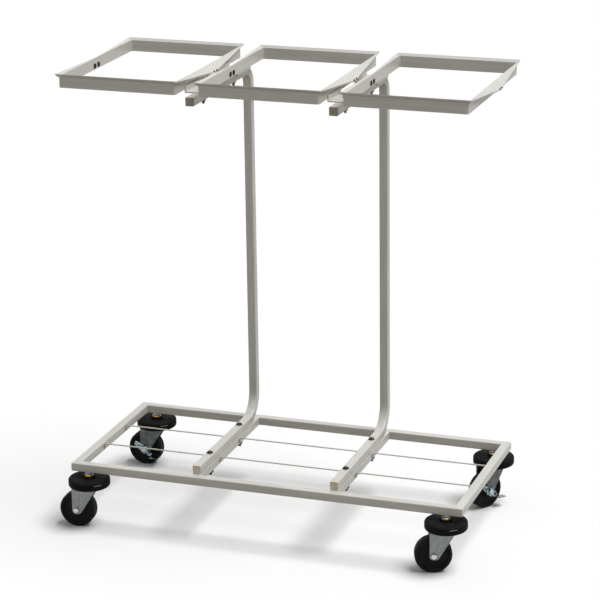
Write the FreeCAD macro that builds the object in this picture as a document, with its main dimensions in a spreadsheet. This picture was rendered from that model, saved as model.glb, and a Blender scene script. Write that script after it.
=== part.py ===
import FreeCAD, Part
import math
import os
import re
import Sketcher

# Recycling sack holder: a castored base of square tube, two bent posts, and three folded
# sheet-metal rings that hold the open mouths of the sacks.
# Millimetres, +X to the right, +Y to the rear, +Z up.
# The origin is on the floor, under the middle of the base.

doc = FreeCAD.newDocument("sack_holder")
dims = doc.addObject("Spreadsheet::Sheet", "Dims")

SIZES = [
    # base frame
    ("base_length", 890, "over the end rails"),
    ("base_depth", 410, "over the front and rear rails"),
    ("base_top", 147, "floor to the top of the base rails"),
    ("tube", 19, "square tube, across the flats"),
    ("tube_wall", 1.5, "tube wall"),
    ("tube_corner", 2.2, "outer corner radius of the tube"),
    ("bay_pitch", 314, "middle of one ring to the middle of the next"),
    # posts
    ("leg_inset", 23.5, "tube end of the foot leg, behind the front of the base"),
    ("post_inset", 13, "rear face of the upright, ahead of the rear of the base"),
    ("arm_top", 831, "top of the arm above the base"),
    ("arm_front", 166, "tube end of the arm, ahead of the middle"),
    ("foot_bend", 60, "centre-line radius of the bend at the foot"),
    ("top_bend", 36, "centre-line radius of the bend at the top"),
    # plugs
    ("plug_head", 2.5, "thickness of the plug's head"),
    ("plug_depth", 12, "how far the plug reaches into the tube"),
    ("plug_clearance", 0.1, "each side, between plug and tube"),
    ("plug_edge", 1.2, "rounding of the plug's head"),
    # shelf wires
    ("wire", 3, "wire diameter"),
    ("wire_drop", 12, "length of the end that is bent down and welded"),
    ("wire_bend", 5, "centre-line radius of the wire's bend"),
    ("wire_sink", 2.6, "wire axis below the top of the rails"),
    ("wire_front_y", -68, "front wire"),
    ("wire_rear_y", 54, "rear wire"),
    # foot bolts
    ("foot_bolt", 8, "shank diameter"),
    ("foot_head", 14, "head diameter"),
    ("foot_head_height", 5, "head height"),
    ("foot_bolt_y", -104, "front bolt"),
    ("foot_bolt_pitch", 184, "front bolt to rear bolt"),
    ("foot_tail", 6, "bolt end below its nut"),
    ("foot_nut", 13, "nut across the flats"),
    ("foot_nut_height", 6.5, "nut height"),
    ("bolt_clearance", 0.2, "each side, between a bolt and its hole"),
    ("thread_clearance", 0.05, "each side, between a bolt and its nut"),
    # sack rings
    ("ring_width", 263, "outside of the band, left to right"),
    ("ring_depth", 392, "outside of the band, front to rear"),
    ("ring_middle", 12, "middle of the ring behind the middle of the base"),
    ("ring_lift", 6.6, "lower edge of the band above the arm"),
    ("band", 25, "height of the band"),
    ("sheet", 1.5, "sheet thickness"),
    ("ring_corner", 5, "outer radius of the band's upright corners"),
    ("lip", 5, "how far the lip reaches out, and up"),
    ("lip_slit", 0.4, "half the slit between a lip and a wing"),
    ("wing_reach", 16, "how far a wing reaches out at the middle"),
    ("wing_drop", 15, "how far a wing falls at the middle"),
    ("crease", 0.8, "start of a wing's crease, out from the band"),
    ("grip_width", 5, "width of each slot beside a grip tongue"),
    ("grip_height", 10, "height of the slots"),
    ("grip_pitch", 15, "middle of one slot to the middle of the other"),
    ("grip_low", 3, "lower end of the slots above the band's lower edge"),
    # ring ties
    ("tie_length", 80, "front to rear"),
    ("tie_sheet", 2.5, "sheet thickness"),
    ("tie_height", 14, "height of the folded sides"),
    ("tie_y", 90, "middle of a tie, ahead of and behind the middle"),
    ("tie_bolt", 6, "shank diameter"),
    ("tie_head", 11, "head diameter"),
    ("tie_head_height", 3.5, "head height"),
    ("tie_tail", 5.5, "bolt end below its nut"),
    ("tie_nut", 10, "nut across the flats"),
    ("tie_nut_height", 5, "nut height"),
    # castors
    ("stem_inset", 37.5, "stem from the end of the base"),
    ("stem", 12, "stem diameter"),
    ("stem_hex", 18, "hexagon across the flats"),
    ("stem_hex_height", 6, "height of the hexagon"),
    ("stem_reach", 6, "stem above the rail's lower wall"),
    ("stem_head", 20, "diameter of the riveted head under the fork"),
    ("stem_head_height", 4.5, "height of that head"),
    ("stem_head_edge", 1, "chamfer on that head"),
    ("brass", 20, "brass washer diameter"),
    ("brass_thickness", 3.5, "brass washer thickness"),
    ("press_clearance", 0.05, "each side, on the stem"),
    ("disc", 92, "bumper disc diameter"),
    ("disc_thickness", 19, "thickness of its rim"),
    ("disc_rounding", 5, "rounding of its rim"),
    ("disc_boss", 28, "diameter of the raised middle"),
    ("disc_boss_height", 4, "height of the raised middle"),
    ("swivel_gap", 0.6, "disc to fork"),
    ("swivel_clearance", 0.08, "each side, fork on the stem"),
    ("head_gap", 0.4, "fork crown to the stem's head"),
    ("fork_sheet", 2.5, "fork sheet thickness"),
    ("crown", 3, "thickness of the fork's crown"),
    ("fork_nose", 18, "crown ahead of the stem"),
    ("fork_nose_drop", 6, "turned-down edge at the nose"),
    ("fork_end", 9, "radius of the fork's end round the axle"),
    ("fork_flat", 0.2, "half the flat left at that end"),
    ("fork_rib", 1, "how far the pressed rib stands out"),
    ("fork_rib_width", 17.5, "width of the pressed rib"),
    ("trail", 27, "axle behind the stem"),
    ("wheel", 80, "wheel diameter"),
    ("wheel_width", 26, "width of the tread"),
    ("wheel_rounding", 4, "rounding of the tread's edges"),
    ("hub", 26, "hub diameter"),
    ("hub_stand", 1.6, "how far the hub stands out each side"),
    ("hub_gap", 0.4, "hub to the fork, each side"),
    ("web_inner", 17, "inner radius of the recess in the wheel's side"),
    ("web_outer", 31, "outer radius of that recess"),
    ("web_sink", 3, "depth of that recess"),
    ("web_slope", 2, "width of the recess's sloping edge"),
    ("axle", 8, "axle diameter"),
    ("axle_clearance", 0.08, "each side, in the wheel and the lever"),
    ("axle_head", 12, "diameter of the axle's head"),
    ("axle_head_height", 4, "height of the axle's head"),
    ("axle_nut", 13, "axle nut across the flats"),
    ("axle_nut_height", 6, "axle nut height"),
    ("axle_tail", 1, "axle end beyond its nut"),
    # brake levers
    ("lever_sheet", 2, "lever sheet thickness"),
    ("lever_gap", 0.4, "lever to the fork and to the axle's head"),
    ("lever_tilt", 36, "slope of the lever, degrees"),
    ("lever_rear", 27, "lever behind the axle, along its slope"),
    ("lever_nose", 22, "lever ahead of the axle, along its slope"),
    ("lever_half", 11, "half height of the lever at the axle"),
    ("lever_end", 4, "half height of the lever at its ends"),
    ("lever_hole", 4, "small holes in the lever"),
    ("lever_hole_reach", 15, "small holes from the axle"),
    ("pedal_reach", 20, "pedal beyond the lever's nose"),
    ("pedal_width", 14, "pedal across"),
    ("pedal_sheet", 2, "pedal thickness"),
]

for row, (alias, value, note) in enumerate(SIZES, start=1):
    dims.set("A%d" % row, str(value))
    dims.setAlias("A%d" % row, alias)
    dims.set("B%d" % row, note)
doc.recompute()


NAMES = {alias for alias, value, note in SIZES}


def sized(text):
    """A formula in the sheet's words, as FreeCAD wants it: every size gets the sheet's name."""
    return re.sub("[a-z_]+", lambda word: "Dims." + word.group() if word.group() in NAMES else word.group(), text)


def new_body(label, x="0", y="0", z="0", turn=None):
    """An empty body at a place given by formulas, turned about the vertical by turn degrees."""
    body = doc.addObject("PartDesign::Body", label)
    body.Label = label
    body.AllowCompound = True
    if turn is not None:
        body.Placement = FreeCAD.Placement(FreeCAD.Vector(), FreeCAD.Rotation(FreeCAD.Vector(0, 0, 1), turn))
    body.setExpression("Placement.Base.x", sized(x))
    body.setExpression("Placement.Base.y", sized(y))
    body.setExpression("Placement.Base.z", sized(z))
    return body


def origin_feature(body, role):
    return [part for part in body.Origin.OriginFeatures if part.Role == role][0]


def new_sketch(body, plane, out="0"):
    """A sketch on one of the body's own planes, moved out along the plane's normal."""
    sketch = body.newObject("Sketcher::SketchObject", "sketch")
    sketch.AttachmentSupport = [(origin_feature(body, plane), "")]
    sketch.MapMode = "FlatFace"
    sketch.setExpression("AttachmentOffset.Base.z", sized(out))
    return sketch


def fix(sketch, kind, geometry, point, value, formula):
    """Tie one coordinate of a point to a formula."""
    index = sketch.addConstraint(Sketcher.Constraint(kind, -1, 1, geometry, point, value))
    sketch.setExpression("Constraints[%d]" % index, sized(formula))


def polygon(sketch, points):
    """A closed outline through points whose coordinates are formulas."""
    first = sketch.GeometryCount
    count = len(points)
    ring = [FreeCAD.Vector(math.cos(2 * math.pi * i / count), math.sin(2 * math.pi * i / count), 0)
            for i in range(count)]
    for i in range(count):
        sketch.addGeometry(Part.LineSegment(ring[i], ring[(i + 1) % count]), False)
    for i in range(count):
        sketch.addConstraint(Sketcher.Constraint("Coincident", first + i, 2, first + (i + 1) % count, 1))
    for i, (x, y) in enumerate(points):
        fix(sketch, "DistanceX", first + i, 1, ring[i].x, x)
        fix(sketch, "DistanceY", first + i, 1, ring[i].y, y)


def rectangle(sketch, x0, x1, y0, y1):
    polygon(sketch, [(x0, y0), (x1, y0), (x1, y1), (x0, y1)])


def circle(sketch, x, y, radius):
    index = sketch.addGeometry(Part.Circle(FreeCAD.Vector(0, 0, 0), FreeCAD.Vector(0, 0, 1), 1), False)
    fix(sketch, "DistanceX", index, 3, 0, x)
    fix(sketch, "DistanceY", index, 3, 0, y)
    size = sketch.addConstraint(Sketcher.Constraint("Radius", index, 1))
    sketch.setExpression("Constraints[%d]" % size, sized(radius))


def rounded_rectangle(sketch, half_x, half_y, radius, middle_y="0"):
    """A rectangle with round corners, centred on the sketch's vertical axis."""
    a = sketch.GeometryCount
    up = FreeCAD.Vector(0, 0, 1)
    corners = [(8, -8, -90), (8, 8, 0), (-8, 8, 90), (-8, -8, 180)]
    lines = [((-8, -10), (8, -10)), ((10, -8), (10, 8)), ((8, 10), (-8, 10)), ((-10, 8), (-10, -8))]
    for start, end in lines:
        sketch.addGeometry(Part.LineSegment(FreeCAD.Vector(*start, 0), FreeCAD.Vector(*end, 0)), False)
    for x, y, angle in corners:
        round_corner = Part.Circle(FreeCAD.Vector(x, y, 0), up, 2)
        sketch.addGeometry(Part.ArcOfCircle(round_corner, math.radians(angle), math.radians(angle + 90)), False)
    for i in range(4):
        sketch.addConstraint(Sketcher.Constraint("Tangent", a + i, 2, a + 4 + i, 1))
        sketch.addConstraint(Sketcher.Constraint("Tangent", a + 4 + i, 2, a + (i + 1) % 4, 1))
    for i in range(2):
        sketch.addConstraint(Sketcher.Constraint("Horizontal", a + 2 * i))
        sketch.addConstraint(Sketcher.Constraint("Vertical", a + 2 * i + 1))
    for i in range(3):
        sketch.addConstraint(Sketcher.Constraint("Equal", a + 4 + i, a + 5 + i))
    size = sketch.addConstraint(Sketcher.Constraint("Radius", a + 4, 2))
    sketch.setExpression("Constraints[%d]" % size, sized(radius))
    fix(sketch, "DistanceX", a + 1, 1, 10, half_x)
    fix(sketch, "DistanceX", a + 3, 1, -10, "-(%s)" % half_x)
    fix(sketch, "DistanceY", a, 1, -10, "%s - (%s)" % (middle_y, half_y))
    fix(sketch, "DistanceY", a + 2, 1, 10, "%s + %s" % (middle_y, half_y))


def tube_section(sketch, middle_y="0"):
    """The square tube's section: round corners outside, plain inside."""
    rounded_rectangle(sketch, "tube / 2", "tube / 2", "tube_corner", middle_y)
    inner = "tube / 2 - tube_wall"
    rectangle(sketch, "-(%s)" % inner, inner, "%s - (%s)" % (middle_y, inner), "%s + %s" % (middle_y, inner))


def pad(body, sketch, length, symmetric=False, backwards=False):
    feature = body.newObject("PartDesign::Pad", "pad")
    feature.Profile = sketch
    feature.setExpression("Length", sized(length))
    feature.SideType = "Symmetric" if symmetric else "One side"
    feature.Reversed = backwards
    return feature


def pocket(body, sketch, length=None, symmetric=False, backwards=False):
    """Cut a sketch away: to a depth, or through everything when no length is given."""
    feature = body.newObject("PartDesign::Pocket", "pocket")
    feature.Profile = sketch
    if length is None:
        feature.Type = "ThroughAll"
    else:
        feature.setExpression("Length", sized(length))
    feature.SideType = "Symmetric" if symmetric else "One side"
    feature.Reversed = backwards
    return feature


def revolve(body, sketch):
    """Turn a sketch once round its own vertical axis."""
    feature = body.newObject("PartDesign::Revolution", "revolution")
    feature.Profile = sketch
    feature.ReferenceAxis = (sketch, ["V_Axis"])
    feature.Angle = 360
    return feature


def mirror(body, features, plane):
    feature = body.newObject("PartDesign::Mirrored", "mirrored")
    feature.Originals = features
    feature.MirrorPlane = (origin_feature(body, plane), [""])
    body.Tip = feature
    return feature


def pair_along_y(body, features, pitch):
    feature = body.newObject("PartDesign::LinearPattern", "pair")
    feature.Originals = features
    feature.Direction = (origin_feature(body, "Y_Axis"), [""])
    feature.Occurrences = 2
    feature.setExpression("Length", sized(pitch))
    body.Tip = feature
    return feature


def round_edges(body, radius, wanted):
    """Round the edges of the body so far that wanted() picks."""
    doc.recompute()
    base = body.Tip
    names = ["Edge%d" % (i + 1) for i, edge in enumerate(base.Shape.Edges) if wanted(edge)]
    feature = body.newObject("PartDesign::Fillet", "rounding")
    feature.Base = (base, names)
    feature.setExpression("Radius", sized(radius))
    return feature


def size(alias):
    return float(dims.get(alias))


def level(edge, z):
    """True when an edge lies flat at height z."""
    box = edge.BoundBox
    return abs(box.ZMin - z) < 0.01 and abs(box.ZMax - z) < 0.01


# Base rails: four mitred lengths of square tube

def mitre(body, inward, along_x):
    """Cut both ends of a rail at 45 degrees; inward is + or - toward the middle of the base."""
    half = "base_length / 2" if along_x else "base_depth / 2"
    outward = "-" if inward == "+" else "+"
    for end in ("", "-"):
        cut = [("%s(%s + tube)" % (end, half), "0 %s 1.5 * tube" % outward),
               ("%s(%s - 2 * tube)" % (end, half), "0 %s 1.5 * tube" % inward),
               ("%s(%s + tube)" % (end, half), "0 %s 1.5 * tube" % inward)]
        sketch = new_sketch(body, "XY_Plane")
        polygon(sketch, cut if along_x else [(y, x) for x, y in cut])
        pocket(body, sketch, symmetric=True)


def long_rail(label, side, inward):
    """Front or rear rail, with a hole in its lower wall for each castor stem."""
    body = new_body(label, y="%s(base_depth - tube) / 2" % side, z="base_top - tube / 2")
    section = new_sketch(body, "YZ_Plane")
    tube_section(section)
    pad(body, section, "base_length", symmetric=True)
    mitre(body, inward, along_x=True)
    holes = new_sketch(body, "XY_Plane", "tube_wall - tube / 2")
    for end in ("", "-"):
        circle(holes, "%s(base_length / 2 - stem_inset)" % end, "0", "stem / 2 + press_clearance")
    pocket(body, holes, "tube_wall")
    return body


def end_rail(label, side, inward):
    body = new_body(label, x="%s(base_length - tube) / 2" % side, z="base_top - tube / 2")
    section = new_sketch(body, "XZ_Plane")
    tube_section(section)
    pad(body, section, "base_depth", symmetric=True)
    mitre(body, inward, along_x=False)
    return body


def cross_rail(label, side):
    """Front to back between the long rails; the post's leg is bolted along its top."""
    body = new_body(label, x="%s bay_pitch / 2" % side, z="base_top - tube / 2")
    section = new_sketch(body, "XZ_Plane")
    tube_section(section)
    pad(body, section, "base_depth - 2 * tube", symmetric=True)
    holes = new_sketch(body, "XY_Plane")
    for y in ("foot_bolt_y", "foot_bolt_y + foot_bolt_pitch"):
        circle(holes, "0", y, "foot_bolt / 2 + bolt_clearance")
    pocket(body, holes, symmetric=True)
    return body


# Posts: one bent tube each, with a foot leg, an upright and an arm

# places along the depth, measured from the ends of the base
LEG_FRONT = "(base_depth / 2 - leg_inset)"
POST_REAR = "(base_depth / 2 - post_inset)"


def post(label, side):
    body = new_body(label, x="%s bay_pitch / 2" % side, z="base_top")
    section = new_sketch(body, "XZ_Plane", LEG_FRONT)
    tube_section(section, "tube / 2")
    path = new_sketch(body, "YZ_Plane")
    leg_y = size("leg_inset") - size("base_depth") / 2
    rear_y = size("base_depth") / 2 - size("post_inset") - size("tube") / 2
    arm_y = -size("arm_front")
    leg_z, arm_z = size("tube") / 2, size("arm_top") - size("tube") / 2
    low, high = size("foot_bend"), size("top_bend")
    normal = FreeCAD.Vector(0, 0, 1)
    runs = [((leg_y, leg_z), (rear_y - low, leg_z)), ((rear_y, leg_z + low), (rear_y, arm_z - high)),
            ((rear_y - high, arm_z), (arm_y, arm_z))]
    for start, end in runs:
        path.addGeometry(Part.LineSegment(FreeCAD.Vector(*start, 0), FreeCAD.Vector(*end, 0)), False)
    low_circle = Part.Circle(FreeCAD.Vector(rear_y - low, leg_z + low, 0), normal, low)
    high_circle = Part.Circle(FreeCAD.Vector(rear_y - high, arm_z - high, 0), normal, high)
    path.addGeometry(Part.ArcOfCircle(low_circle, -math.pi / 2, 0), False)
    path.addGeometry(Part.ArcOfCircle(high_circle, 0, math.pi / 2), False)
    leg, rise, arm, low_bend, high_bend = range(5)
    for first, first_end, second, second_end in ((leg, 2, low_bend, 1), (low_bend, 2, rise, 1),
                                                 (rise, 2, high_bend, 1), (high_bend, 2, arm, 1)):
        path.addConstraint(Sketcher.Constraint("Tangent", first, first_end, second, second_end))
    path.addConstraint(Sketcher.Constraint("Horizontal", leg))
    path.addConstraint(Sketcher.Constraint("Vertical", rise))
    path.addConstraint(Sketcher.Constraint("Horizontal", arm))
    for bend, radius in ((low_bend, "foot_bend"), (high_bend, "top_bend")):
        index = path.addConstraint(Sketcher.Constraint("Radius", bend, size(radius)))
        path.setExpression("Constraints[%d]" % index, sized(radius))
    fix(path, "DistanceX", leg, 1, leg_y, "-" + LEG_FRONT)
    fix(path, "DistanceY", leg, 1, leg_z, "tube / 2")
    fix(path, "DistanceX", rise, 1, rear_y, POST_REAR + " - tube / 2")
    fix(path, "DistanceX", arm, 2, arm_y, "-arm_front")
    fix(path, "DistanceY", arm, 2, arm_z, "arm_top - tube / 2")
    doc.recompute()
    pipe = body.newObject("PartDesign::AdditivePipe", "bent_tube")
    pipe.Profile = section
    pipe.Spine = (path, ["Edge%d" % (i + 1) for i in range(5)])
    foot_holes = new_sketch(body, "XY_Plane")
    for y in ("foot_bolt_y", "foot_bolt_y + foot_bolt_pitch"):
        circle(foot_holes, "0", y, "foot_bolt / 2 + bolt_clearance")
    pocket(body, foot_holes, "tube", backwards=True)
    arm_holes = new_sketch(body, "XY_Plane", "arm_top - tube")
    for y in ("-tie_y", "tie_y"):
        circle(arm_holes, "0", y, "tie_bolt / 2 + bolt_clearance")
    pocket(body, arm_holes, "tube", backwards=True)
    return body


def end_plug(label, side, end, height):
    """Moulded plug that closes a tube's front end."""
    body = new_body(label, x="%s bay_pitch / 2" % side, y="-%s" % end, z="base_top + %s" % height)
    head = new_sketch(body, "XZ_Plane")
    rounded_rectangle(head, "tube / 2", "tube / 2", "tube_corner")
    pad(body, head, "plug_head")
    insert = new_sketch(body, "XZ_Plane")
    half = "tube / 2 - tube_wall - plug_clearance"
    rectangle(insert, "-(%s)" % half, half, "-(%s)" % half, half)
    pad(body, insert, "plug_depth", backwards=True)
    round_edges(body, "plug_edge", lambda edge: edge.BoundBox.YMax < 0.01 - size("plug_head"))
    return body


# Bolts and nuts: each pair of one kind is a node

# points of a domed head, as shares of its diameter and its height
DOME = ((0.5, 0.3), (0.4, 0.7), (0.2, 1))


def bolt_pair(label, side, kind, first_y, pitch, seat, grip):
    """Round-headed bolts standing on seat, with a shank through grip."""
    body = new_body(label, x="%s bay_pitch / 2" % side, y=first_y, z=seat)
    profile = new_sketch(body, "XZ_Plane")
    shank = "%s_bolt / 2" % kind
    dome = [("%s * %s_head" % (out, kind), "%s * %s_head_height" % (up, kind)) for out, up in DOME]
    polygon(profile, [("0", "-(%s)" % grip), (shank, "-(%s)" % grip), (shank, "0"), ("%s_head / 2" % kind, "0")]
            + dome + [("0", "%s_head_height" % kind)])
    one = revolve(body, profile)
    pair_along_y(body, [one], pitch)
    return body


def hexagon(sketch, across, x="0", y="0"):
    """A regular hexagon round x, y with two sides square to the sketch's vertical axis."""
    flat, corner, half = "%s / 2" % across, "%s / 2 / cos(30)" % across, "%s / 2 * tan(30)" % across
    above, below = "%s + %s" % (y, flat), "%s - %s" % (y, flat)
    polygon(sketch, [("%s + %s" % (x, corner), y), ("%s + %s" % (x, half), above), ("%s - %s" % (x, half), above),
                     ("%s - %s" % (x, corner), y), ("%s - %s" % (x, half), below), ("%s + %s" % (x, half), below)])


def nut_pair(label, side, kind, first_y, pitch, seat):
    body = new_body(label, x="%s bay_pitch / 2" % side, y=first_y, z=seat)
    outline = new_sketch(body, "XY_Plane")
    hexagon(outline, "%s_nut" % kind)
    circle(outline, "0", "0", "%s_bolt / 2 + thread_clearance" % kind)
    one = pad(body, outline, "%s_nut_height" % kind, backwards=True)
    pair_along_y(body, [one], pitch)
    return body


# Shelf wires: welded by a turned-down end to one rail, butted against the next

def shelf_wire(label, left_face, right_face, y):
    body = new_body(label, x=left_face, y=y, z="base_top")
    path = new_sketch(body, "XZ_Plane")
    x, bend, sink, drop = size("wire") / 2, size("wire_bend"), size("wire_sink"), size("wire_drop")
    reach = 10 * bend
    path.addGeometry(Part.LineSegment(FreeCAD.Vector(x, -sink - drop, 0), FreeCAD.Vector(x, -sink - bend, 0)), False)
    path.addGeometry(Part.LineSegment(FreeCAD.Vector(x + bend, -sink, 0), FreeCAD.Vector(x + reach, -sink, 0)), False)
    turn = Part.Circle(FreeCAD.Vector(x + bend, -sink - bend, 0), FreeCAD.Vector(0, 0, 1), bend)
    path.addGeometry(Part.ArcOfCircle(turn, math.pi / 2, math.pi), False)
    end, run, corner = range(3)
    path.addConstraint(Sketcher.Constraint("Tangent", end, 2, corner, 2))
    path.addConstraint(Sketcher.Constraint("Tangent", run, 1, corner, 1))
    path.addConstraint(Sketcher.Constraint("Vertical", end))
    path.addConstraint(Sketcher.Constraint("Horizontal", run))
    index = path.addConstraint(Sketcher.Constraint("Radius", corner, bend))
    path.setExpression("Constraints[%d]" % index, sized("wire_bend"))
    fix(path, "DistanceX", end, 1, x, "wire / 2")
    fix(path, "DistanceY", end, 1, -sink - drop, "-(wire_sink + wire_drop)")
    fix(path, "DistanceX", run, 2, x + reach, "%s - (%s)" % (right_face, left_face))
    fix(path, "DistanceY", run, 2, -sink, "-wire_sink")
    section = new_sketch(body, "XY_Plane", "-(wire_sink + wire_drop)")
    circle(section, "wire / 2", "0", "wire / 2")
    doc.recompute()
    pipe = body.newObject("PartDesign::AdditivePipe", "wire")
    pipe.Profile = section
    pipe.Spine = (path, ["Edge%d" % (i + 1) for i in range(3)])
    return body


# Sack rings: a folded hoop with a lip front and rear and a wing on each side

def wing_section(sketch, crease_x, crease_z, tip_x, tip_z):
    """Section of a wing: from inside the band's top edge to its crease and on to its outer edge."""
    skin = "sheet / cos(45)"
    line = [("ring_width / 2 - sheet / 2", "band"), ("ring_width / 2", "band"),
            ("ring_width / 2 + %s" % crease_x, "band + %s" % crease_z),
            ("ring_width / 2 + %s" % tip_x, "band + %s" % tip_z)]
    polygon(sketch, line + [(x, "%s - %s" % (z, skin)) for x, z in reversed(line)])


def loft(body, sketches):
    feature = body.newObject("PartDesign::AdditiveLoft", "loft")
    feature.Profile = sketches[0]
    feature.Sections = [(sketch, [""]) for sketch in sketches[1:]]
    feature.Ruled = True
    return feature


def sack_ring(label, place):
    body = new_body(label, x=place, y="ring_middle", z="base_top + arm_top + ring_lift")
    # wings: the strip along each side is folded down to a point half way along
    front = new_sketch(body, "XZ_Plane", "ring_depth / 2 + lip")
    middle = new_sketch(body, "XZ_Plane")
    rear = new_sketch(body, "XZ_Plane", "-(ring_depth / 2 + lip)")
    for sketch in (front, rear):
        wing_section(sketch, "crease", "crease / 2", "lip", "lip")
    wing_section(middle, "(wing_reach - crease)", "(crease - wing_drop)", "wing_reach", "-wing_drop")
    right_wing = loft(body, [front, middle, rear])
    mirror(body, [right_wing], "YZ_Plane")
    # mitre the wings' ends where the lips meet them
    corners = new_sketch(body, "XY_Plane")
    edge_x, edge_y, out = "ring_width / 2", "ring_depth / 2", "2 * lip"
    for sign in ("-", ""):
        polygon(corners, [("-(%s)" % edge_x, "%s(%s)" % (sign, edge_y)), (edge_x, "%s(%s)" % (sign, edge_y)),
                          ("%s + %s" % (edge_x, out), "%s(%s + %s)" % (sign, edge_y, out)),
                          ("-(%s + %s)" % (edge_x, out), "%s(%s + %s)" % (sign, edge_y, out))])
    pocket(body, corners, symmetric=True)
    # front and rear lips
    skin = "sheet / cos(45)"
    root = new_sketch(body, "XZ_Plane", "ring_depth / 2")
    half = "(ring_width / 2 - lip_slit)"
    rectangle(root, "-" + half, half, "band - %s" % skin, "band")
    tip = new_sketch(body, "XZ_Plane", "ring_depth / 2 + lip")
    half = "(ring_width / 2 + lip - lip_slit)"
    rectangle(tip, "-" + half, half, "band + lip - %s" % skin, "band + lip")
    front_lip = loft(body, [root, tip])
    mirror(body, [front_lip], "XZ_Plane")
    # square top edge, then the band with its rounded upright corners
    rim = new_sketch(body, "XY_Plane", "band - %s" % skin)
    rectangle(rim, "-ring_width / 2", "ring_width / 2", "-ring_depth / 2", "ring_depth / 2")
    rectangle(rim, "sheet - ring_width / 2", "ring_width / 2 - sheet",
              "sheet - ring_depth / 2", "ring_depth / 2 - sheet")
    pad(body, rim, skin)
    hoop = new_sketch(body, "XY_Plane")
    rounded_rectangle(hoop, "ring_width / 2", "ring_depth / 2", "ring_corner")
    rounded_rectangle(hoop, "ring_width / 2 - sheet", "ring_depth / 2 - sheet", "ring_corner - sheet")
    pad(body, hoop, "band - %s / 2" % skin)
    # slots beside the grip tongue, through band and wing on both sides
    slots = new_sketch(body, "YZ_Plane")
    for sign in ("-", ""):
        rectangle(slots, "%s grip_pitch / 2 - grip_width / 2" % sign, "%s grip_pitch / 2 + grip_width / 2" % sign,
                  "grip_low", "grip_low + grip_height")
    pocket(body, slots, symmetric=True)
    return body


def ring_tie(label, side, y):
    """Channel on the arm; its sides are welded to the bands of the two rings beside it."""
    body = new_body(label, x="%s bay_pitch / 2" % side, y=y, z="base_top + arm_top")
    half, inner = "(bay_pitch - ring_width) / 2", "((bay_pitch - ring_width) / 2 - tie_sheet)"
    section = new_sketch(body, "XZ_Plane")
    polygon(section, [("-" + half, "0"), (half, "0"), (half, "tie_height"), (inner, "tie_height"),
                      (inner, "tie_sheet"), ("-" + inner, "tie_sheet"), ("-" + inner, "tie_height"),
                      ("-" + half, "tie_height")])
    pad(body, section, "tie_length", symmetric=True)
    hole = new_sketch(body, "XY_Plane")
    circle(hole, "0", "0", "tie_bolt / 2 + bolt_clearance")
    pocket(body, hole, symmetric=True)
    round_edges(body, "tie_sheet", lambda edge: level(edge, 0) and edge.BoundBox.XLength < 0.01)
    return body


# Castors: each is modelled with its stem at the body's origin and its wheel toward +X,
# then turned about the stem to where it points

RAIL_BOTTOM = "(base_top - tube)"
BRASS_TOP = "(base_top - tube - stem_hex_height)"
DISC_TOP = "(base_top - tube - stem_hex_height - brass_thickness - disc_boss_height)"
FORK_TOP = "(%s - disc_thickness - swivel_gap)" % DISC_TOP
PLATE_OUT = "(wheel_width / 2 + hub_stand + hub_gap + fork_sheet)"


def stem_body(label, castor):
    side_x, side_y, turn = castor
    return new_body(label, x="%s(base_length / 2 - stem_inset)" % side_x, y="%s(base_depth - tube) / 2" % side_y,
                    turn=turn)


def castor_stem(label, castor):
    body = stem_body(label, castor)
    shaft = new_sketch(body, "XZ_Plane")
    head_top = "%s - crown - head_gap" % FORK_TOP
    polygon(shaft, [("0", "%s - stem_head_height" % head_top),
                    ("stem_head / 2 - stem_head_edge", "%s - stem_head_height" % head_top),
                    ("stem_head / 2", "%s - stem_head_height + stem_head_edge" % head_top),
                    ("stem_head / 2", head_top), ("stem / 2", head_top),
                    ("stem / 2", "%s + tube_wall + stem_reach" % RAIL_BOTTOM),
                    ("0", "%s + tube_wall + stem_reach" % RAIL_BOTTOM)])
    revolve(body, shaft)
    collar = new_sketch(body, "XY_Plane", BRASS_TOP)
    hexagon(collar, "stem_hex")
    pad(body, collar, "stem_hex_height")
    return body


def brass_washer(label, castor):
    body = stem_body(label, castor)
    section = new_sketch(body, "XZ_Plane")
    bottom = "%s - brass_thickness" % BRASS_TOP
    polygon(section, [("stem / 2 + press_clearance", bottom), ("brass / 2", bottom),
                      ("brass / 2", "%s - brass_thickness / 3" % BRASS_TOP),
                      ("brass / 2 - brass_thickness / 3", BRASS_TOP),
                      ("stem / 2 + press_clearance", BRASS_TOP)])
    revolve(body, section)
    return body


def bumper_disc(label, castor):
    body = stem_body(label, castor)
    section = new_sketch(body, "XZ_Plane")
    bottom, bore = "%s - disc_thickness" % DISC_TOP, "stem / 2 + press_clearance"
    polygon(section, [(bore, bottom), ("disc / 2", bottom), ("disc / 2", DISC_TOP), ("disc_boss / 2", DISC_TOP),
                      ("disc_boss / 2", "%s + disc_boss_height" % DISC_TOP),
                      (bore, "%s + disc_boss_height" % DISC_TOP)])
    revolve(body, section)
    round_edges(body, "disc_rounding", lambda edge: edge.BoundBox.XLength > size("disc") - 0.1
                and edge.BoundBox.ZLength < 0.01)
    return body


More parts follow.
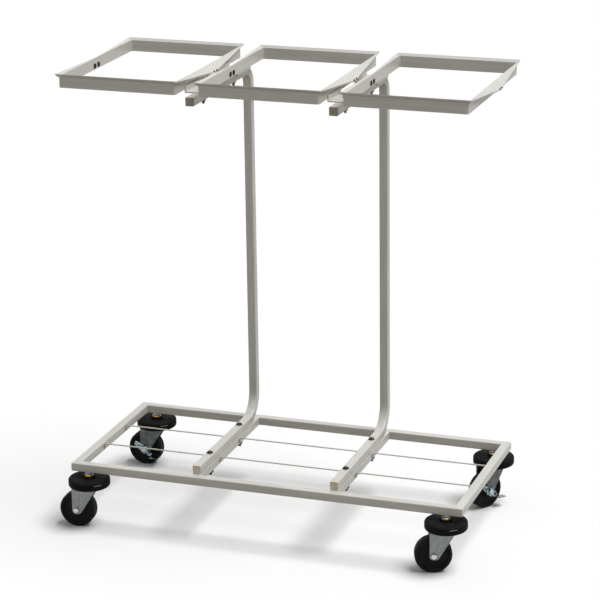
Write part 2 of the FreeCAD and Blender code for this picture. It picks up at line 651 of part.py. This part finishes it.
def castor_fork(label, castor):
    """Pressed fork: a crown over the wheel and two plates that taper to the axle."""
    body = stem_body(label, castor)
    low, back = "(wheel / 2 - fork_end)", "(trail + fork_end)"
    outline = new_sketch(body, "XZ_Plane")
    polygon(outline, [(back, FORK_TOP), (back, low), ("trail - fork_end", low),
                      ("-fork_nose", "%s - fork_nose_drop" % FORK_TOP), ("-fork_nose", FORK_TOP)])
    pad(body, outline, "2 * %s" % PLATE_OUT, symmetric=True)
    round_edges(body, "fork_end - fork_flat", lambda edge: level(edge, size("wheel") / 2 - size("fork_end"))
                and edge.BoundBox.YLength > 2)
    # pressed rib down each plate, round at the axle
    over_ribs = "2 * %s + 2 * fork_rib" % PLATE_OUT
    rib = new_sketch(body, "XZ_Plane")
    rectangle(rib, "%s - fork_rib_width" % back, back, "wheel / 2", "%s - crown" % FORK_TOP)
    pad(body, rib, over_ribs, symmetric=True)
    rib_end = new_sketch(body, "XZ_Plane")
    circle(rib_end, "%s - fork_rib_width / 2" % back, "wheel / 2", "fork_rib_width / 2")
    pad(body, rib_end, over_ribs, symmetric=True)
    gap = new_sketch(body, "YZ_Plane")
    inner = "(wheel_width / 2 + hub_stand + hub_gap)"
    rectangle(gap, "-" + inner, inner, "0", "%s - crown" % FORK_TOP)
    pocket(body, gap, symmetric=True)
    bore = new_sketch(body, "XY_Plane")
    circle(bore, "0", "0", "stem / 2 + swivel_clearance")
    pocket(body, bore, backwards=True)
    axle_holes = new_sketch(body, "XZ_Plane")
    circle(axle_holes, "trail", "wheel / 2", "axle / 2 + thread_clearance")
    pocket(body, axle_holes, symmetric=True)
    return body


def castor_wheel(label, castor):
    body = stem_body(label, castor)
    section = new_sketch(body, "YZ_Plane", "trail")
    half, hub_half = "wheel_width / 2", "(wheel_width / 2 + hub_stand)"
    axis = "wheel / 2"
    bore = "axle / 2 + axle_clearance"
    side = [(hub_half, bore), (hub_half, "hub / 2"), ("%s - web_sink" % half, "web_inner"),
            ("%s - web_sink" % half, "web_outer"), (half, "web_outer + web_slope"), (half, "wheel / 2")]
    outline = [(y, "%s + %s" % (axis, r)) for y, r in side]
    outline += [("-(%s)" % y, "%s + %s" % (axis, r)) for y, r in reversed(side)]
    polygon(section, outline)
    axle_line = section.addGeometry(Part.LineSegment(FreeCAD.Vector(-5, 5, 0), FreeCAD.Vector(5, 5, 0)), True)
    fix(section, "DistanceX", axle_line, 1, -5, "-wheel / 2")
    fix(section, "DistanceX", axle_line, 2, 5, "wheel / 2")
    fix(section, "DistanceY", axle_line, 1, 5, axis)
    fix(section, "DistanceY", axle_line, 2, 5, axis)
    turned = body.newObject("PartDesign::Revolution", "revolution")
    turned.Profile = section
    turned.ReferenceAxis = (section, ["Axis0"])
    turned.Angle = 360
    round_edges(body, "wheel_rounding", lambda edge: edge.BoundBox.ZLength > size("wheel") - 0.1
                and edge.BoundBox.YLength < 0.01)
    return body


def axle_bolt(label, castor, lever):
    """Bolt through fork and wheel: round head on the near side, nut on the far side."""
    body = stem_body(label, castor)
    near = "(%s + fork_rib)" % PLATE_OUT
    if lever:
        near = "(%s + fork_rib + lever_sheet + 2 * lever_gap)" % PLATE_OUT
    far = "(%s + fork_rib)" % PLATE_OUT
    shank = new_sketch(body, "XZ_Plane", "%s + axle_nut_height + axle_tail" % far)
    circle(shank, "trail", "wheel / 2", "axle / 2")
    pad(body, shank, "%s + axle_nut_height + axle_tail + %s" % (far, near), backwards=True)
    head = new_sketch(body, "XZ_Plane", "-%s" % near)
    circle(head, "trail", "wheel / 2", "axle_head / 2")
    pad(body, head, "axle_head_height", backwards=True)
    nut = new_sketch(body, "XZ_Plane", far)
    hexagon(nut, "axle_nut", "trail", "wheel / 2")
    pad(body, nut, "axle_nut_height")
    round_edges(body, "axle_head_height / 2", lambda edge: edge.BoundBox.YMin > head_tip(lever) - 0.01)
    return body


def head_tip(lever):
    """Outer end of an axle's head."""
    reach = size("wheel_width") / 2 + size("hub_stand") + size("hub_gap") + size("fork_sheet") + size("fork_rib")
    if lever:
        reach += size("lever_sheet") + 2 * size("lever_gap")
    return reach + size("axle_head_height")


def brake_lever(label, castor):
    """Boat-shaped plate round the axle, with a pedal turned out at its nose."""
    body = stem_body(label, castor)
    inner = "(%s + fork_rib + lever_gap)" % PLATE_OUT

    def along(distance, above):
        """A point of the sloping plate, from the axle."""
        run = "(%s) * cos(lever_tilt) - (%s) * sin(lever_tilt)" % (distance, above)
        rise = "(%s) * sin(lever_tilt) + (%s) * cos(lever_tilt)" % (distance, above)
        return "trail + %s" % run, "wheel / 2 + %s" % rise

    plate = new_sketch(body, "XZ_Plane", "-%s" % inner)
    polygon(plate, [along("lever_rear", "lever_end"), along("lever_rear", "-lever_end"), along("0", "-lever_half"),
                    along("-lever_nose", "-lever_end"), along("-lever_nose", "lever_end"), along("0", "lever_half")])
    circle(plate, "trail", "wheel / 2", "axle / 2 + axle_clearance")
    for reach in ("lever_hole_reach", "-lever_hole_reach"):
        x, z = along(reach, "0")
        circle(plate, x, z, "lever_hole / 2")
    pad(body, plate, "lever_sheet", backwards=True)
    pedal = new_sketch(body, "XZ_Plane", "-%s" % inner)
    nose_x, nose_z = along("-lever_nose", "-lever_end")
    heel_x, heel_z = along("-lever_nose", "pedal_sheet - lever_end")
    polygon(pedal, [(nose_x, nose_z), (heel_x, heel_z), ("%s - pedal_reach" % heel_x, "%s - pedal_sheet" % heel_z),
                    ("%s - pedal_reach" % nose_x, "%s - pedal_sheet" % nose_z)])
    pad(body, pedal, "pedal_width", backwards=True)
    return body


# Assembly

made = []

made.append(long_rail("base_front_rail", "-", "+"))
made.append(long_rail("base_rear_rail", "", "-"))
made.append(end_rail("base_left_rail", "-", "+"))
made.append(end_rail("base_right_rail", "", "-"))

for name, side in (("left", "-"), ("right", "")):
    made.append(cross_rail("cross_rail_" + name, side))
    made.append(post("post_" + name, side))
    made.append(end_plug("foot_plug_" + name, side, LEG_FRONT, "tube / 2"))
    made.append(end_plug("arm_plug_" + name, side, "arm_front", "arm_top - tube / 2"))
    made.append(bolt_pair("foot_bolts_" + name, side, "foot", "foot_bolt_y", "foot_bolt_pitch", "base_top + tube",
                          "2 * tube + foot_nut_height + foot_tail"))
    made.append(nut_pair("foot_nuts_" + name, side, "foot", "foot_bolt_y", "foot_bolt_pitch", "base_top - tube"))
    made.append(bolt_pair("tie_bolts_" + name, side, "tie", "-tie_y", "2 * tie_y", "base_top + arm_top + tie_sheet",
                          "tie_sheet + tube + tie_nut_height + tie_tail"))
    made.append(nut_pair("tie_nuts_" + name, side, "tie", "-tie_y", "2 * tie_y", "base_top + arm_top - tube"))
    for end, y in (("front", "-tie_y"), ("rear", "tie_y")):
        made.append(ring_tie("ring_tie_%s_%s" % (name, end), side, y))

BAYS = (("left", "tube - base_length / 2", "-(bay_pitch + tube) / 2"),
        ("middle", "(tube - bay_pitch) / 2", "(bay_pitch - tube) / 2"),
        ("right", "(bay_pitch + tube) / 2", "base_length / 2 - tube"))
for name, left_face, right_face in BAYS:
    for end in ("front", "rear"):
        made.append(shelf_wire("shelf_wire_%s_%s" % (name, end), left_face, right_face, "wire_%s_y" % end))

for name, place in (("left", "-bay_pitch"), ("middle", "0"), ("right", "bay_pitch")):
    made.append(sack_ring("sack_ring_" + name, place))

# side, end and the way each castor points, in degrees from +X
CASTORS = (("front_left", ("-", "-", 185)), ("front_right", ("", "-", 201)),
           ("rear_left", ("-", "", 182)), ("rear_right", ("", "", 238)))
for name, castor in CASTORS:
    braked = name.startswith("rear")
    made.append(castor_stem("stem_" + name, castor))
    made.append(brass_washer("brass_washer_" + name, castor))
    made.append(bumper_disc("bumper_disc_" + name, castor))
    made.append(castor_fork("fork_" + name, castor))
    made.append(castor_wheel("wheel_" + name, castor))
    made.append(axle_bolt("axle_" + name, castor, braked))
    if braked:
        made.append(brake_lever("brake_lever_" + name, castor))

doc.recompute()

for item in doc.Objects:
    if "Invalid" in item.State or "Error" in item.State:
        raise RuntimeError("%s (%s) failed: %s" % (item.Name, item.Label, item.State))
for body in made:
    if body.Shape.isNull() or not body.Shape.isValid():
        raise RuntimeError("%s has no valid shape" % body.Label)

os.makedirs("parts", exist_ok=True)
for body in made:
    body.Shape.exportStep("parts/%s.step" % body.Label)
    print("%s: %d solid(s), %.0f mm3" % (body.Label, len(body.Shape.Solids), body.Shape.Volume))
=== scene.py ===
import math

import bmesh
import bpy
from mathutils import Matrix, Vector


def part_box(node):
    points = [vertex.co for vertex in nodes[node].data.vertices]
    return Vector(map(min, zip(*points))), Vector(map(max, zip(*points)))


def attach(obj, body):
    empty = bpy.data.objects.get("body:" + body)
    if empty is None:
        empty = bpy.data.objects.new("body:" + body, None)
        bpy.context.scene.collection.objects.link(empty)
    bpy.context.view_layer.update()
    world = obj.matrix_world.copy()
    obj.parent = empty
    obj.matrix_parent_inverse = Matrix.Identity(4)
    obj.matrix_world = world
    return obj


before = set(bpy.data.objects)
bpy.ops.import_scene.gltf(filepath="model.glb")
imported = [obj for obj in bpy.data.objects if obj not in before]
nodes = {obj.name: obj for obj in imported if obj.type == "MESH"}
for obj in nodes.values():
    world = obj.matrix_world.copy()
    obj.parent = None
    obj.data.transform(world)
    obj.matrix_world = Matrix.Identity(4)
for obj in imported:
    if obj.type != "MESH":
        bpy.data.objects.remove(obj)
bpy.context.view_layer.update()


# Base rails
# Four lengths of 19 mm square steel tube, mitred and welded at the corners, then powder-coated
# with the rest of the frame in a pale warm silver with a fine orange peel.
def tree_of(name):
    """A new material with its node tree and its shader."""
    material = bpy.data.materials.new(name)
    material.use_nodes = True
    tree = material.node_tree
    return material, tree, tree.nodes["Principled BSDF"]


def pattern(tree, scale, detail=3.0, roughness=0.5, stretch=None):
    """Noise on the object's own coordinates, with scale in repeats per metre."""
    place = tree.nodes.new("ShaderNodeTexCoord")
    noise = tree.nodes.new("ShaderNodeTexNoise")
    noise.inputs["Scale"].default_value = scale
    noise.inputs["Detail"].default_value = detail
    noise.inputs["Roughness"].default_value = roughness
    if stretch is None:
        tree.links.new(place.outputs["Object"], noise.inputs["Vector"])
    else:
        mapping = tree.nodes.new("ShaderNodeMapping")
        mapping.inputs["Scale"].default_value = stretch
        tree.links.new(place.outputs["Object"], mapping.inputs["Vector"])
        tree.links.new(mapping.outputs["Vector"], noise.inputs["Vector"])
    return noise.outputs["Fac"]


def graded(tree, factor, low, high, start=0.35, end=0.65):
    """Two colours, blended where the factor goes from start to end."""
    ramp = tree.nodes.new("ShaderNodeValToRGB")
    ramp.color_ramp.elements[0].position = start
    ramp.color_ramp.elements[1].position = end
    ramp.color_ramp.elements[0].color = (*low, 1.0)
    ramp.color_ramp.elements[1].color = (*high, 1.0)
    tree.links.new(factor, ramp.inputs["Fac"])
    return ramp.outputs["Color"]


def ranged(tree, factor, low, high, start=0.3, end=0.7):
    """A number that goes from low to high where the factor goes from start to end."""
    spread = tree.nodes.new("ShaderNodeMapRange")
    spread.inputs["From Min"].default_value = start
    spread.inputs["From Max"].default_value = end
    spread.inputs["To Min"].default_value = low
    spread.inputs["To Max"].default_value = high
    tree.links.new(factor, spread.inputs["Value"])
    return spread.outputs["Result"]


def relief(tree, height, strength, depth, under=None):
    """A bump of the given depth in metres, on top of another where one is given."""
    bump = tree.nodes.new("ShaderNodeBump")
    bump.inputs["Strength"].default_value = strength
    bump.inputs["Distance"].default_value = depth
    tree.links.new(height, bump.inputs["Height"])
    if under is not None:
        tree.links.new(under, bump.inputs["Normal"])
    return bump.outputs["Normal"]


COAT_METALLIC = 0.12
COAT_GLOSS = 0.35
COAT_ROUGHNESS = (0.34, 0.46)
STREAK_SCALE = 130
ALONG = {"x": (0.06, 1, 1), "y": (1, 0.06, 1), "z": (1, 1, 0.06)}
WEAR_SCALE = 45
PEEL_SCALE = 650
PEEL_DEPTH = 0.00012
WAVE_SCALE = 60
WAVE_DEPTH = 0.0004


def powder_coat(name, pale, dull, run):
    """Coat on a piece whose length lies along x, y or z: its flake streaks faintly that way."""
    material, tree, shader = tree_of(name)
    shader.inputs["Metallic"].default_value = COAT_METALLIC
    shader.inputs["Specular IOR Level"].default_value = COAT_GLOSS
    streaks = pattern(tree, STREAK_SCALE, detail=4, roughness=0.6, stretch=ALONG[run])
    tree.links.new(graded(tree, streaks, dull, pale), shader.inputs["Base Color"])
    wear = pattern(tree, WEAR_SCALE, detail=5)
    tree.links.new(ranged(tree, wear, *COAT_ROUGHNESS), shader.inputs["Roughness"])
    peel = relief(tree, pattern(tree, PEEL_SCALE, detail=2), strength=0.25, depth=PEEL_DEPTH)
    swell = pattern(tree, WAVE_SCALE, detail=2)
    wave = relief(tree, swell, strength=0.12, depth=WAVE_DEPTH, under=peel)
    tree.links.new(wave, shader.inputs["Normal"])
    return material


JOINED_WITHIN = 0.00001
ROUNDED_FROM = math.radians(40)
CREASED_FROM = math.radians(35)


def finish(label, material, edge=0.0):
    """Give a CAD node its material, joined faces, softened edges where an edge width is given, and
    smooth curves.
    """
    piece = nodes[label]
    piece.data.materials.clear()
    piece.data.materials.append(material)
    piece.data.polygons.foreach_set("use_smooth", [True] * len(piece.data.polygons))
    weld = piece.modifiers.new("joined", "WELD")
    weld.merge_threshold = JOINED_WITHIN
    if edge:
        bevel = piece.modifiers.new("edge", "BEVEL")
        bevel.width = edge
        bevel.segments = 2
        bevel.limit_method = "ANGLE"
        bevel.angle_limit = ROUNDED_FROM
    split = piece.modifiers.new("creases", "EDGE_SPLIT")
    split.split_angle = CREASED_FROM


PALE_COAT = (0.63, 0.62, 0.58)
DULL_COAT = (0.55, 0.54, 0.50)
coat = {run: powder_coat("frame powder coat " + run, PALE_COAT, DULL_COAT, run) for run in "xyz"}
for side, run in (("front", "x"), ("rear", "x"), ("left", "y"), ("right", "y")):
    finish("base_%s_rail" % side, coat[run])


# Cross rails
# Two lengths of the same tube from the front rail to the rear one, welded between them,
# with the posts bolted along their tops.
for side in ("left", "right"):
    finish("cross_rail_" + side, coat["y"])


# Posts
# Each is one length of the tube, bent at the foot and at the top, with its foot lying on a
# cross rail and its arm under the rings.
for side in ("left", "right"):
    finish("post_" + side, coat["z"])


# Shelf wires
# Thin steel wire, turned down and welded at its left end, and coated with the frame, so that
# it takes the light along its top and is dark below.
PALE_WIRE = (0.62, 0.61, 0.56)
DULL_WIRE = (0.54, 0.53, 0.48)
wire_paint = powder_coat("wire powder coat", PALE_WIRE, DULL_WIRE, "x")
for bay in ("left", "middle", "right"):
    for end in ("front", "rear"):
        finish("shelf_wire_%s_%s" % (bay, end), wire_paint)


# End plugs
# Moulded plastic plugs pressed into the tube ends, taupe and matt, with a fine moulded grain.
# Those in the feet are paler than those in the arms.
TINT_SCALE = 70
SHEEN_SCALE = 180
GRAIN_DEPTH = 0.0001


def moulded(name, pale, dull, grain, roughness, gloss=0.4):
    """Matt plastic or rubber, with grain as the mould's texture in repeats per metre."""
    material, tree, shader = tree_of(name)
    shader.inputs["Specular IOR Level"].default_value = gloss
    tint = graded(tree, pattern(tree, TINT_SCALE), dull, pale)
    tree.links.new(tint, shader.inputs["Base Color"])
    sheen = ranged(tree, pattern(tree, SHEEN_SCALE), *roughness)
    tree.links.new(sheen, shader.inputs["Roughness"])
    skin = relief(tree, pattern(tree, grain, detail=2), strength=0.3, depth=GRAIN_DEPTH)
    tree.links.new(skin, shader.inputs["Normal"])
    return material


foot_plastic = moulded("foot plug plastic", pale=(0.72, 0.63, 0.52), dull=(0.64, 0.56, 0.46),
                       grain=1400, roughness=(0.5, 0.62))
arm_plastic = moulded("arm plug plastic", pale=(0.45, 0.40, 0.35), dull=(0.39, 0.35, 0.30),
                      grain=1400, roughness=(0.5, 0.62))
for side in ("left", "right"):
    finish("foot_plug_" + side, foot_plastic)
    finish("arm_plug_" + side, arm_plastic)


# Bolts and nuts
# Domed bolt heads on the foot legs and on the ring ties, with hexagon nuts below. Bright
# plated steel, with fine turning marks, coloured near black as a painted reflection of dark
# surroundings.
POLISH_SCALE = 260
TOOL_MARK_SCALE = 500
TOOL_MARK_DEPTH = 0.00008


def plated(name, pale, dull, roughness, streak, patches=120):
    """Bright metal with patches per metre of tint, and tool marks drawn out by streak."""
    material, tree, shader = tree_of(name)
    shader.inputs["Metallic"].default_value = 1.0
    tint = graded(tree, pattern(tree, patches, detail=4), dull, pale, start=0.42, end=0.58)
    tree.links.new(tint, shader.inputs["Base Color"])
    polish = ranged(tree, pattern(tree, POLISH_SCALE), *roughness)
    tree.links.new(polish, shader.inputs["Roughness"])
    tooling = pattern(tree, TOOL_MARK_SCALE, detail=2, stretch=streak)
    marks = relief(tree, tooling, strength=0.15, depth=TOOL_MARK_DEPTH)
    tree.links.new(marks, shader.inputs["Normal"])
    return material


# Near-black colour: a painted dark reflection on the bright steel.
bolt_steel_painted_dark = plated("bolt steel with painted dark reflection", pale=(0.07, 0.07, 0.07), dull=(0.025, 0.025, 0.025),
                    roughness=(0.12, 0.22), streak=(1, 1, 4))
for side in ("left", "right"):
    for kind in ("foot_bolts", "foot_nuts", "tie_bolts", "tie_nuts"):
        finish("%s_%s" % (kind, side), bolt_steel_painted_dark)


# Sack rings
# Each is folded from one strip of sheet steel: an upright band with a lip turned out front
# and rear, a wing folded down along each side, and in each side two slots that free a grip
# tongue. They are coated a little paler than the frame.
PALE_RING = (0.66, 0.65, 0.61)
DULL_RING = (0.59, 0.58, 0.545)
ring_paint = powder_coat("ring powder coat", PALE_RING, DULL_RING, "x")
for bay in ("left", "middle", "right"):
    finish("sack_ring_" + bay, ring_paint)


# Grips
# Black plastic clips pushed through the rings' slots: a neck in the slot, a flange on each face
# of the band, and a tail that shows in the notch of the wing's lower edge. Their black is partly
# painted shade, the shade that falls in the slots and in the notch.
RING_PITCH = 0.314
RING_Y = 0.012
RING_Z = 0.9846
BAND_HALF = 0.1315
SHEET = 0.0015
GRIP_NECK = (0.0031, 0.0048, 0.0098)
GRIP_FLANGE = (0.0008, 0.0115, 0.0098)
GRIP_TAIL = (0.0040, 0.0048, 0.0034)
GRIP_EDGE = GRIP_FLANGE[0] / 4
GRIP_PITCH = 0.015
FLANGE_PITCH = 0.0195
GRIP_ABOVE = 0.008
TAIL_OUT = 0.0140
TAIL_ABOVE = 0.0112
IN_SLOT = BAND_HALF - SHEET / 2
INSIDE = BAND_HALF - SHEET - GRIP_FLANGE[0] / 2
OUTSIDE = BAND_HALF + GRIP_FLANGE[0] / 2
AT_NOTCH = BAND_HALF + TAIL_OUT

# each block's size, its distance out from the ring's middle, the pitch of front and rear blocks,
# and the height of its middle above the ring's lowest edge
GRIP_BLOCKS = ((GRIP_NECK, IN_SLOT, GRIP_PITCH, GRIP_ABOVE),
               (GRIP_FLANGE, INSIDE, FLANGE_PITCH, GRIP_ABOVE),
               (GRIP_FLANGE, OUTSIDE, FLANGE_PITCH, GRIP_ABOVE),
               (GRIP_TAIL, AT_NOTCH, GRIP_PITCH, TAIL_ABOVE))


def new_object(name, mesh, material):
    """A new object from the mesh, which is freed, in the material."""
    data = bpy.data.meshes.new(name)
    mesh.to_mesh(data)
    mesh.free()
    data.materials.append(material)
    made = bpy.data.objects.new(name, data)
    bpy.context.scene.collection.objects.link(made)
    return made


# Near black: the clips' own colour, with painted shade in the slots and the notch.
grip_black_and_shade = moulded("grip black and painted shade", pale=(0.012, 0.012, 0.012), dull=(0.007, 0.007, 0.007),
                     grain=900, roughness=(0.55, 0.7), gloss=0.12)
for bay, step in (("left", -1), ("middle", 0), ("right", 1)):
    mesh = bmesh.new()
    for side_x in (-1, 1):
        for side_y in (-1, 1):
            for sizes, out, pitch, above in GRIP_BLOCKS:
                block = bmesh.ops.create_cube(mesh, size=1)["verts"]
                bmesh.ops.scale(mesh, vec=sizes, verts=block)
                place = (step * RING_PITCH + side_x * out, RING_Y + side_y * pitch / 2, RING_Z + above)
                bmesh.ops.translate(mesh, vec=place, verts=block)
    bmesh.ops.bevel(mesh, geom=mesh.edges[:], offset=GRIP_EDGE, offset_type="OFFSET",
                    segments=2, affect="EDGES", profile=0.5, material=-1)
    grips = new_object("grips_" + bay, mesh, grip_black_and_shade)
    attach(grips, "frame")


# Ring ties
# Short folded channels bolted on the arms, with their sides welded to the bands of the two
# rings beside them, and coated like the rings.
for side in ("left", "right"):
    for end in ("front", "rear"):
        finish("ring_tie_%s_%s" % (side, end), ring_paint)


# Castor stems, forks and axles
# Zinc-plated pressed and turned steel. The plating is grey with a green cast on the forks,
# slightly mottled, and brighter on the turned pieces. The braked pair at the rear is darker,
# partly for its own plating and partly as painted shade.
CORNERS = ("front_left", "front_right", "rear_left", "rear_right")
FORK_EDGE = 0.0004
fork_zinc = plated("fork zinc", pale=(0.21, 0.223, 0.215), dull=(0.175, 0.188, 0.182),
                   roughness=(0.30, 0.42), streak=(1, 1, 0.2))
# Darker zinc for the rear forks: their own plating, with painted shade in it.
rear_fork_zinc_and_shade = plated("rear fork zinc and painted shade", pale=(0.115, 0.122, 0.116), dull=(0.080, 0.088, 0.085),
                        roughness=(0.28, 0.40), streak=(1, 1, 0.2))
turned_zinc = plated("turned zinc", pale=(0.56, 0.57, 0.57), dull=(0.46, 0.47, 0.47),
                     roughness=(0.20, 0.32), streak=(1, 1, 4))
for corner in CORNERS:
    zinc = rear_fork_zinc_and_shade if corner.startswith("rear") else fork_zinc
    finish("stem_" + corner, turned_zinc)
    finish("fork_" + corner, zinc, edge=FORK_EDGE)
    finish("axle_" + corner, turned_zinc)


# Brass washers
# Turned brass rings with a chamfered upper edge, one on each stem, between its hexagon and the
# raised middle of the bumper disc.
brass = plated("brass", pale=(0.95, 0.58, 0.19), dull=(0.82, 0.47, 0.14),
               roughness=(0.32, 0.46), streak=(1, 1, 6))
for corner in CORNERS:
    finish("brass_washer_" + corner, brass)


# Bumper discs
# Thick round discs of matt black rubber with a raised middle, which keep the castors off walls.
# One is fitted on each stem, above the fork.
disc_rubber = moulded("disc rubber", pale=(0.009, 0.009, 0.009), dull=(0.005, 0.005, 0.005),
                      grain=900, roughness=(0.6, 0.75), gloss=0.06)
for corner in CORNERS:
    finish("bumper_disc_" + corner, disc_rubber)


# Disc beads
# Short moulded beads on the rims of three discs, the two at the front and the one at the left
# rear, toward the front right. Each is a thin bead bent round the rim and partly sunk in it, and
# its pale grey is a painted highlight on the black rubber.
MARK_RADIUS = 0.0005
MARK_SUNK = MARK_RADIUS / 3
MARK_SIDES = 10
MARK_ANGLE = 22
MARK_STEPS = 14
MARK_BELOW = 0.0098
MARK_TURNS = {"front_left": -43, "front_right": -54, "rear_left": -46}
# Pale grey: a painted highlight on the beads.
painted_highlight_grey = moulded("painted highlight grey", pale=(0.42, 0.43, 0.42), dull=(0.30, 0.31, 0.30),
                    grain=900, roughness=(0.45, 0.6))
for corner, turn in MARK_TURNS.items():
    low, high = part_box("bumper_disc_" + corner)
    rim = (high.x - low.x) / 2
    mesh = bmesh.new()
    bmesh.ops.create_circle(mesh, cap_ends=True, segments=MARK_SIDES, radius=MARK_RADIUS)
    on_rim = Matrix.Translation((rim - MARK_SUNK, 0, high.z - MARK_BELOW))
    upright = Matrix.Rotation(math.radians(90), 4, "X")
    bmesh.ops.transform(mesh, matrix=on_rim @ upright, verts=mesh.verts)
    bmesh.ops.spin(mesh, geom=mesh.verts[:] + mesh.edges[:] + mesh.faces[:], cent=(0, 0, 0),
                   axis=(0, 0, 1), angle=math.radians(MARK_ANGLE), steps=MARK_STEPS)
    bmesh.ops.recalc_face_normals(mesh, faces=mesh.faces)
    on_disc = Matrix.Translation(((low.x + high.x) / 2, (low.y + high.y) / 2, 0))
    turned = Matrix.Rotation(math.radians(turn - MARK_ANGLE / 2), 4, "Z")
    bmesh.ops.transform(mesh, matrix=on_disc @ turned, verts=mesh.verts)
    mark = new_object("disc_highlight_bead_" + corner, mesh, painted_highlight_grey)
    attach(mark, "frame")


# Wheels
# Solid black wheels with a plain tread and a shallow recess in each side, matt and slightly
# grained from the mould.
wheel_rubber = moulded("wheel rubber", pale=(0.010, 0.010, 0.010), dull=(0.006, 0.006, 0.006),
                       grain=700, roughness=(0.6, 0.78), gloss=0.14)
for corner in CORNERS:
    finish("wheel_" + corner, wheel_rubber)


# Brake levers
# Pressed plates on the two rear axles, zinc-plated with a mottled blue passivation, each with
# a pedal turned out at its nose.
LEVER_EDGE = 0.0003
blue_zinc = plated("blue zinc", pale=(0.42, 0.52, 0.55), dull=(0.020, 0.055, 0.075),
                   roughness=(0.16, 0.28), streak=(1, 1, 0.3), patches=210)
for corner in ("rear_left", "rear_right"):
    finish("brake_lever_" + corner, blue_zinc, edge=LEVER_EDGE)


# Floor
# A plain pale floor that runs out of the picture on every side. It is seen near white, and the
# light that it sends up on the piece is dimmer and warmer.
FLOOR_HALF = 40.0
FLOOR_ROUGHNESS = 0.9
FLOOR_GLOSS = 0.1
SEEN_FLOOR = (0.90, 0.90, 0.90)
LIGHTING_FLOOR = (0.17, 0.145, 0.105)


def seen_rays(tree):
    """1 where the ray comes from the camera, a mirror or glass, else 0."""
    rays = tree.nodes.new("ShaderNodeLightPath")
    seen = rays.outputs["Is Camera Ray"]
    for kind in ("Is Glossy Ray", "Is Transmission Ray"):
        either = tree.nodes.new("ShaderNodeMath")
        either.operation = "MAXIMUM"
        tree.links.new(seen, either.inputs[0])
        tree.links.new(rays.outputs[kind], either.inputs[1])
        seen = either.outputs[0]
    return seen


floor_paint, floor_tree, floor_shader = tree_of("floor paint")
floor_seen = seen_rays(floor_tree)
floor_colour = graded(floor_tree, floor_seen, LIGHTING_FLOOR, SEEN_FLOOR, start=0.0, end=1.0)
floor_tree.links.new(floor_colour, floor_shader.inputs["Base Color"])
floor_shader.inputs["Roughness"].default_value = FLOOR_ROUGHNESS
floor_shader.inputs["Specular IOR Level"].default_value = FLOOR_GLOSS

mesh = bmesh.new()
bmesh.ops.create_grid(mesh, x_segments=1, y_segments=1, size=FLOOR_HALF)
floor = new_object("floor", mesh, floor_paint)


# Light
# A soft even surround, white where it is seen or mirrored, and one large soft lamp high on
# the right, which leaves the faces toward the front in their own shade.
SURROUND = 0.30
SEEN_SURROUND = 1.0
world = bpy.data.worlds.new("studio")
bpy.context.scene.world = world
world.use_nodes = True
world_tree = world.node_tree
level = world_tree.nodes.new("ShaderNodeMapRange")
level.inputs["To Min"].default_value = SURROUND
level.inputs["To Max"].default_value = SEEN_SURROUND
world_tree.links.new(seen_rays(world_tree), level.inputs["Value"])
world_tree.links.new(level.outputs["Result"], world_tree.nodes["Background"].inputs["Strength"])
world_tree.nodes["Background"].inputs["Color"].default_value = (1, 1, 1, 1)

LAMP_STRENGTH = 2.8
LAMP_WIDTH = math.radians(32)
TOWARD_LAMP = Vector((1.0, 0.12, 2.35))
lamp_data = bpy.data.lights.new("key lamp", "SUN")
lamp_data.energy = LAMP_STRENGTH
lamp_data.angle = LAMP_WIDTH
lamp = bpy.data.objects.new("key lamp", lamp_data)
lamp.rotation_euler = TOWARD_LAMP.to_track_quat("Z", "Y").to_euler()
bpy.context.scene.collection.objects.link(lamp)


# Camera
# In front and to the right, above the rings, with a long lens, as in the photograph. Its place
# is in metres, its turns in degrees, and its lens and sensor in millimetres.
CAMERA_PLACE = (1.6735, -4.7154, 2.0926)
CAMERA_YAW = 19.3122
CAMERA_PITCH = -17.6467
CAMERA_ROLL = -0.7516
CAMERA_LENS = 145.0
CAMERA_SENSOR = 36
CAMERA_REACH = 200
camera_data = bpy.data.cameras.new("camera")
camera_data.sensor_width = CAMERA_SENSOR
camera_data.lens = CAMERA_LENS
camera_data.clip_end = CAMERA_REACH
camera = bpy.data.objects.new("camera", camera_data)
camera.matrix_world = (Matrix.Translation(CAMERA_PLACE)
                       @ Matrix.Rotation(math.radians(CAMERA_YAW), 4, "Z")
                       @ Matrix.Rotation(math.radians(90 + CAMERA_PITCH), 4, "X")
                       @ Matrix.Rotation(math.radians(CAMERA_ROLL), 4, "Z"))
bpy.context.scene.collection.objects.link(camera)
bpy.context.scene.camera = camera
bpy.context.scene.view_settings.view_transform = "Standard"
